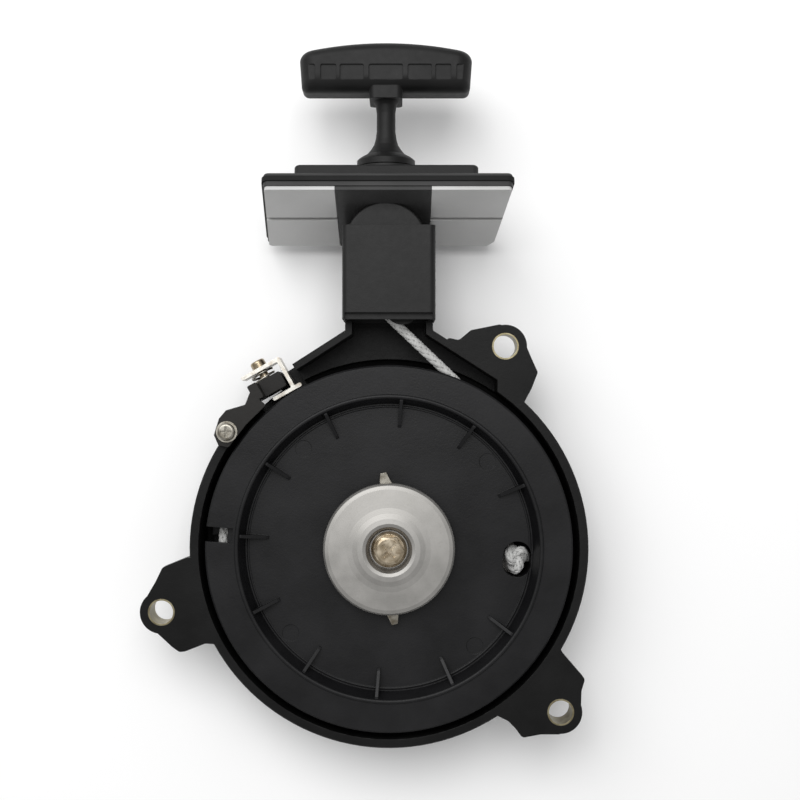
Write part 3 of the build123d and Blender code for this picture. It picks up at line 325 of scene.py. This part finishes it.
def pale_panel(name):
    """Pale grey panel with a faint satin mottling."""
    made = Shader(name)
    soft, edge = made.soft_edges(0.0004)
    cloud = made.noise(0.030, 4.0)
    fine = made.noise(0.0010, 2.0)
    tone = made.mix(made.spread(cloud, 0.35, 0.68), (0.47, 0.47, 0.465), (0.54, 0.54, 0.535))
    made.set(
        # painted highlight: edges lightened towards a paler grey
        colour=made.mix(made.math("MULTIPLY", edge, 0.4), tone, (0.62, 0.62, 0.615)),
        rough=made.spread(cloud, 0.3, 0.7, 0.32, 0.46),
        normal=made.bump(fine, 0.00003, soft),
    )
    return made.material


def make_materials():
    """One material for each of the record's slots."""
    dull_edge, soft_edge = (0.035, 0.035, 0.035), (0.060, 0.060, 0.061)
    return {
        "case_paint": moulded(
            "case_paint", (0.003, 0.003, 0.003), (0.007, 0.007, 0.007), 0.46, 0.0007, 0.00008,
            (0.09, 0.09, 0.09), 0.7, 0.16,
        ),
        "neck_plastic": moulded(
            "neck_plastic", (0.004, 0.004, 0.004), (0.008, 0.008, 0.008), 0.48, 0.0006, 0.00004,
            soft_edge, 0.5, 0.25,
        ),
        "plate_plastic": moulded(
            "plate_plastic", (0.028, 0.028, 0.028), (0.040, 0.040, 0.040), 0.48, 0.0006, 0.00004,
            soft_edge, 0.5, 0.28,
        ),
        "seal_rubber": moulded(
            "seal_rubber", (0.005, 0.005, 0.005), (0.010, 0.010, 0.010), 0.68, 0.0008, 0.00005,
            dull_edge, 0.5, 0.2,
        ),
        "seat_rubber": moulded(
            "seat_rubber", (0.008, 0.008, 0.008), (0.013, 0.013, 0.013), 0.55, 0.0007, 0.00005,
            soft_edge, 0.5, 0.28,
        ),
        "grip_rubber": moulded(
            "grip_rubber", (0.004, 0.004, 0.004), (0.009, 0.009, 0.009), 0.50, 0.0007, 0.00005,
            soft_edge, 0.5, 0.22,
        ),
        "sheave_plastic": moulded(
            "sheave_plastic", (0.0035, 0.0035, 0.004), (0.008, 0.008, 0.0088), 0.42, 0.0009,
            0.00005, soft_edge, 0.5, 0.24,
        ),
        "stop_plastic": moulded(
            "stop_plastic", (0.008, 0.007, 0.006), (0.015, 0.014, 0.013), 0.55, 0.0007, 0.00006,
            soft_edge, 0.5, 0.25,
        ),
        "bush_plastic": moulded(
            "bush_plastic", (0.34, 0.31, 0.24), (0.46, 0.43, 0.35), 0.45, 0.0008, 0.00003,
            (0.55, 0.53, 0.45),
        ),
        "panel_grey": pale_panel("panel_grey"),
        "rope_white": braid_fibre("rope_white"),
        "pressed_steel": spun_plate("pressed_steel"),
        "shaft_steel": plated(
            "shaft_steel", (0.34, 0.34, 0.35), (0.50, 0.50, 0.51), 0.28, 0.0004, 0.000008, (1, 1, 6)
        ),
        "spring_steel": plated("spring_steel", (0.11, 0.12, 0.14), (0.22, 0.23, 0.26), 0.34),
        "screw_steel": plated(
            "screw_steel", (0.20, 0.185, 0.155), (0.44, 0.42, 0.37), 0.32, 0.0005, 0.00001,
            (1, 1, 1), (0.10, 0.08, 0.05),
        ),
        "stop_steel": plated(
            "stop_steel", (0.46, 0.44, 0.40), (0.68, 0.66, 0.61), 0.32, 0.0006, 0.00001, (1, 1, 5),
            (0.36, 0.30, 0.23),
        ),
        "collar_zinc": plated(
            "collar_zinc", (0.22, 0.19, 0.11), (0.40, 0.36, 0.24), 0.32, 0.0004, 0.00001,
            (1, 1, 6), (0.16, 0.12, 0.06),
        ),
        "bolt_zinc": plated(
            "bolt_zinc", (0.30, 0.24, 0.16), (0.60, 0.52, 0.40), 0.28, 0.0005, 0.00001, (1, 1, 1),
            (0.16, 0.11, 0.06),
        ),
        "eyelet_chrome": plated("eyelet_chrome", (0.52, 0.52, 0.53), (0.68, 0.68, 0.69), 0.14),
    }


def paint_cad_nodes(materials):
    """Gives every carried-over CAD node its slot's material, and smooth shading between sharp edges."""
    for part in frame["record"]["subparts"]:
        node = frame["nodes"][part["node"]]
        mesh = node.data
        mesh.materials.clear()
        mesh.materials.append(materials[part["material_slot"]])
        mesh.polygons.foreach_set("use_smooth", [True] * len(mesh.polygons))
        mesh.set_sharp_from_angle(angle=math.radians(32))


# ---- meshes from code ----------------------------------------------------------------------------------


def mesh_piece(name, points, faces, material):
    """Object from vertices and faces, smooth shaded."""
    mesh = bpy.data.meshes.new(name)
    mesh.from_pydata([tuple(p) for p in points], [], faces)
    mesh.polygons.foreach_set("use_smooth", [True] * len(mesh.polygons))
    mesh.materials.append(material)
    piece = bpy.data.objects.new(name, mesh)
    bpy.context.scene.collection.objects.link(piece)
    return piece


def frames_along(route):
    """Tangent, side and up vectors at each point of a route; up stays as near +Z as it can."""
    tangent = np.gradient(route, axis=0)
    tangent /= np.linalg.norm(tangent, axis=1)[:, None]
    side = np.cross(np.array([0.0, 0.0, 1.0]), tangent)
    side /= np.linalg.norm(side, axis=1)[:, None]
    return tangent, side, np.cross(tangent, side)


def tube(route, radius, sides, closed_ends=True):
    """Vertices and faces of a tube on a route; radius is one number or one for each point."""
    tangent, side, up = frames_along(route)
    angles = np.arange(sides) * 2 * math.pi / sides
    radius = np.broadcast_to(radius, len(route))
    ring = np.cos(angles)[None, :, None] * side[:, None, :] + np.sin(angles)[None, :, None] * up[:, None, :]
    points = (route[:, None, :] + ring * radius[:, None, None]).reshape(-1, 3)
    faces = []
    for i in range(len(route) - 1):
        for j in range(sides):
            k = (j + 1) % sides
            faces.append((i * sides + j, i * sides + k, (i + 1) * sides + k, (i + 1) * sides + j))
    if closed_ends:
        faces.append(tuple(reversed(range(sides))))
        faces.append(tuple((len(route) - 1) * sides + j for j in range(sides)))
    return points, faces


def strand_tube(path, outward, tangent, wide, thick, sides):
    """Flat oval yarn on a path; outward is the rope's radial direction at each of its points."""
    across = np.cross(outward, tangent)
    across /= np.linalg.norm(across, axis=1)[:, None]
    angles = np.arange(sides) * 2 * math.pi / sides
    ring = np.cos(angles)[None, :, None] * across[:, None, :] * wide
    ring = ring + np.sin(angles)[None, :, None] * outward[:, None, :] * thick
    points = (path[:, None, :] + ring).reshape(-1, 3)
    faces = []
    for i in range(len(path) - 1):
        for j in range(sides):
            k = (j + 1) % sides
            faces.append((i * sides + j, i * sides + k, (i + 1) * sides + k, (i + 1) * sides + j))
    faces.append(tuple(reversed(range(sides))))
    faces.append(tuple((len(path) - 1) * sides + j for j in range(sides)))
    return points, faces


def braid(name, route, material, phase=0.0, pitch=0.020, yarns=4, sides=6, per_pitch=16, shape=None):
    """Braided rope on a route: two sets of yarns wound opposite ways, over and under, on a core."""
    steps = np.linalg.norm(np.diff(route, axis=0), axis=1)
    run = np.concatenate([[0.0], np.cumsum(steps)])
    count = max(4, int(run[-1] / pitch * per_pitch))
    s = np.linspace(0.0, run[-1], count)
    centre = np.stack([np.interp(s, run, route[:, k]) for k in range(3)], axis=1)
    tangent, side, up = frames_along(centre)
    lay = 0.00022
    mean_r = ROPE_R - 0.00046 - lay
    points, faces = tube(centre, mean_r - 0.00005, 8)
    all_points, all_faces, base = [points], list(faces), len(points)
    turn = 2 * math.pi * (s + phase) / pitch
    for way in (1, -1):
        radial = mean_r + way * lay * np.cos(2 * yarns * turn)
        for i in range(yarns):
            angle = way * turn + i * 2 * math.pi / yarns
            outward = np.cos(angle)[:, None] * side + np.sin(angle)[:, None] * up
            path = centre + outward * radial[:, None]
            along = np.gradient(path, axis=0)
            along /= np.linalg.norm(along, axis=1)[:, None]
            points, faces = strand_tube(path, outward, along, 0.00105, 0.00046, sides)
            all_points.append(points)
            all_faces += [tuple(v + base for v in f) for f in faces]
            base += len(points)
    vertices = np.concatenate(all_points)
    if shape:
        vertices = shape(vertices)
    return mesh_piece(name, vertices, all_faces, material)


# ---- rope ----------------------------------------------------------------------------------------------


def tangent_points():
    """Where the straight run leaves the guide roller and meets the sheave, and that angle on the sheave."""
    reach = math.hypot(*ROLLER)
    angle = math.atan2(ROLLER[1], ROLLER[0]) - math.acos((ROLLER_PITCH_R + SHEAVE_PITCH_R) / reach)
    normal = np.array([math.cos(angle), math.sin(angle)])
    on_roller = np.array(ROLLER) - ROLLER_PITCH_R * normal
    return on_roller, SHEAVE_PITCH_R * normal, angle


def whole_wind():
    """Angle of rope wound on the sheave at rest, up from the knot's hole."""
    return tangent_points()[2] - KNOT_ANGLE + 2 * math.pi * FULL_TURNS


def arc_points(centre, radius, start, end, count):
    """Points of a level arc at the rope's height."""
    angles = np.linspace(start, end, count)
    return [(centre[0] + radius * math.cos(a), centre[1] + radius * math.sin(a), ROPE_Z) for a in angles]


def free_route(top_y):
    """Rope from the sheave, round the guide roller and up the neck."""
    on_roller, on_sheave, angle = tangent_points()
    run = [(*(on_sheave + (on_roller - on_sheave) * t), ROPE_Z) for t in np.linspace(0.003, 1.0, 40)]
    bend = arc_points(ROLLER, ROLLER_PITCH_R, math.pi + angle, math.pi, 16)
    neck = [(ROLLER[0] - ROLLER_PITCH_R, y, ROPE_Z) for y in np.linspace(ROLLER[1], top_y, 40)]
    return np.array(run + bend[1:] + neck[1:])


def wound_route(first, last):
    """Turns on the sheave from one angle up from the knot's hole to another, in radians."""
    turned = np.linspace(first, last, int((last - first) * 30))
    height = ROPE_Z - ROPE_LEAD * (whole_wind() - turned) / (2 * math.pi)
    place = KNOT_ANGLE + turned
    return np.stack([SHEAVE_PITCH_R * np.cos(place), SHEAVE_PITCH_R * np.sin(place), height], axis=1)


def squeeze_for_pull(low, high):
    """Maps a rope drawn out to full pull back to its squeezed state between low and high along Y.

    A blended piece follows 3t^2 - 2t^3 of the travel, so its inverse keeps the braid even when it is out."""

    def shape(points):
        share = np.clip((points[:, 1] - low) / (high - low + PULL_TRAVEL), 0.0, 1.0)
        t = 0.5 - np.sin(np.arcsin(1 - 2 * share) / 3)
        squeezed = points.copy()
        squeezed[:, 1] = low + t * (high - low)
        return squeezed

    return shape


def make_ropes(material):
    """Wound turns, free run, the stretch that is drawn out with the handle, and the end in the handle."""
    pull_low, pull_high = 0.1850, FOOT_Y + 0.001
    whole = whole_wind()
    stays = whole - DRUM_TURN
    kept = braid("rope_last_turn", wound_route(0.0, stays), material)
    leaving_route = wound_route(stays, whole)
    leaving = braid("rope_turns", leaving_route, material, phase=stays * SHEAVE_PITCH_R)
    for piece in (kept, leaving):
        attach(piece, "sheave_body")
        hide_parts("rope_wound")
    free = braid("rope_free_run", free_route(pull_low), material, per_pitch=28, sides=8)
    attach(free, "starter_case")
    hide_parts("rope_run")
    x = ROLLER[0] - ROLLER_PITCH_R
    ends = np.linspace(pull_low, pull_high + PULL_TRAVEL, 400)
    drawn = np.array([(x, y, ROPE_Z) for y in ends])
    pull = braid("rope_drawn_out", drawn, material, shape=squeeze_for_pull(pull_low, pull_high))
    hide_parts("rope_run")
    end_route = np.array([(x, y, ROPE_Z) for y in np.linspace(pull_high, HANDLE_KNOT_Y - 0.003, 30)])
    inner = braid("rope_in_handle", end_route, material)
    knot = make_knot("handle_knot", (x, HANDLE_KNOT_Y, ROPE_Z), (0.0010, 0.0010, 0.00125), 0.0, material)
    for piece in (inner, knot):
        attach(piece, "handle_body")
        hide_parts("rope_grip_end")
    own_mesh(leaving)
    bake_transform(pull)


def knot_route(size, turn):
    """Overhand knot pulled round on itself, its half sizes along three axes, turned about Z."""
    t = np.linspace(0.0, 2 * math.pi, 160)
    x = (np.sin(t) + 2 * np.sin(2 * t)) * size[0]
    y = (np.cos(t) - 2 * np.cos(2 * t)) * size[1]
    z = -np.sin(3 * t) * size[2]
    c, s = math.cos(turn), math.sin(turn)
    return np.stack([x * c - y * s, x * s + y * c, z], axis=1)


def make_knot(name, place, size, turn, material):
    """Stopper knot of the same braid."""
    route = knot_route(size, turn) + np.array(place)
    return braid(name, route, material, per_pitch=28, sides=6, pitch=0.014)


def make_sheave_knot(material):
    """Knot in the sheave's pocket, and the tail that comes to it through the groove's wall."""
    height = ROPE_Z - ROPE_LEAD * whole_wind() / (2 * math.pi)
    c, s = math.cos(KNOT_ANGLE), math.sin(KNOT_ANGLE)
    bend_r, rise_z = 0.0050, 0.0315
    bend_start = KNOT_R + 0.0015 + bend_r
    side_on = [(r, height) for r in np.linspace(SHEAVE_PITCH_R - 0.0026, bend_start, 16)]
    bend = [
        (bend_start - bend_r * math.sin(a), height + bend_r * (1 - math.cos(a)))
        for a in np.linspace(0.1, math.radians(84), 12)
    ]
    up = [(bend[-1][0], z) for z in np.linspace(bend[-1][1] + 0.0005, rise_z, 3)]
    tail_route = np.array([(r * c, r * s, z) for r, z in side_on + bend + up])
    tail_route[-3:, 0] -= np.array([0.0, 0.0001, 0.0002])
    tail = braid("knot_tail", tail_route, material)
    place = (KNOT_R * c, KNOT_R * s, 0.0338)
    knot = make_knot("sheave_knot", place, (0.00136, 0.00200, 0.0017), KNOT_ANGLE, material)
    for piece in (tail, knot):
        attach(piece, "sheave_body")
        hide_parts("rope_tail")


# ---- stop slide's spring -------------------------------------------------------------------------------


def make_stop_spring(material):
    """Coil between the guide block and the slide's outer leg, which closes up as the slide goes in."""
    low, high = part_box("stop_spring")
    outward = Vector((math.cos(STOP_ANGLE), math.sin(STOP_ANGLE), 0.0))
    side = Vector((-outward.y, outward.x, 0.0))
    centre = (low + high) / 2
    coil_r, wire_r, turns, half = 0.0058, 0.00058, 3.5, 0.0042
    t = np.linspace(0.0, 1.0, int(turns * 28))
    ends = np.clip((t - 0.5) * 1.18, -0.5, 0.5)
    path = []
    for share, stretch in zip(t, ends):
        angle = share * turns * 2 * math.pi
        spot = centre + outward * (2 * half * stretch)
        spot = spot + side * (coil_r * math.cos(angle)) + Vector((0, 0, coil_r * math.sin(angle)))
        path.append(tuple(spot))
    path = np.array(path)
    tangent = np.gradient(path, axis=0)
    tangent /= np.linalg.norm(tangent, axis=1)[:, None]
    out = np.tile(np.array(outward), (len(path), 1))
    out = out - tangent * (out * tangent).sum(axis=1)[:, None]
    out /= np.linalg.norm(out, axis=1)[:, None]
    points, faces = strand_tube(path, out, tangent, wire_r, wire_r, 10)
    spring = mesh_piece("slide_spring", points, faces, material)
    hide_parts("stop_spring")
    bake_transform(spring)


# ---- scene ---------------------------------------------------------------------------------------------
make_camera()
make_floor()
make_lights()
MATERIALS = make_materials()
paint_cad_nodes(MATERIALS)
make_ropes(MATERIALS["rope_white"])
make_sheave_knot(MATERIALS["rope_white"])
make_stop_spring(MATERIALS["screw_steel"])
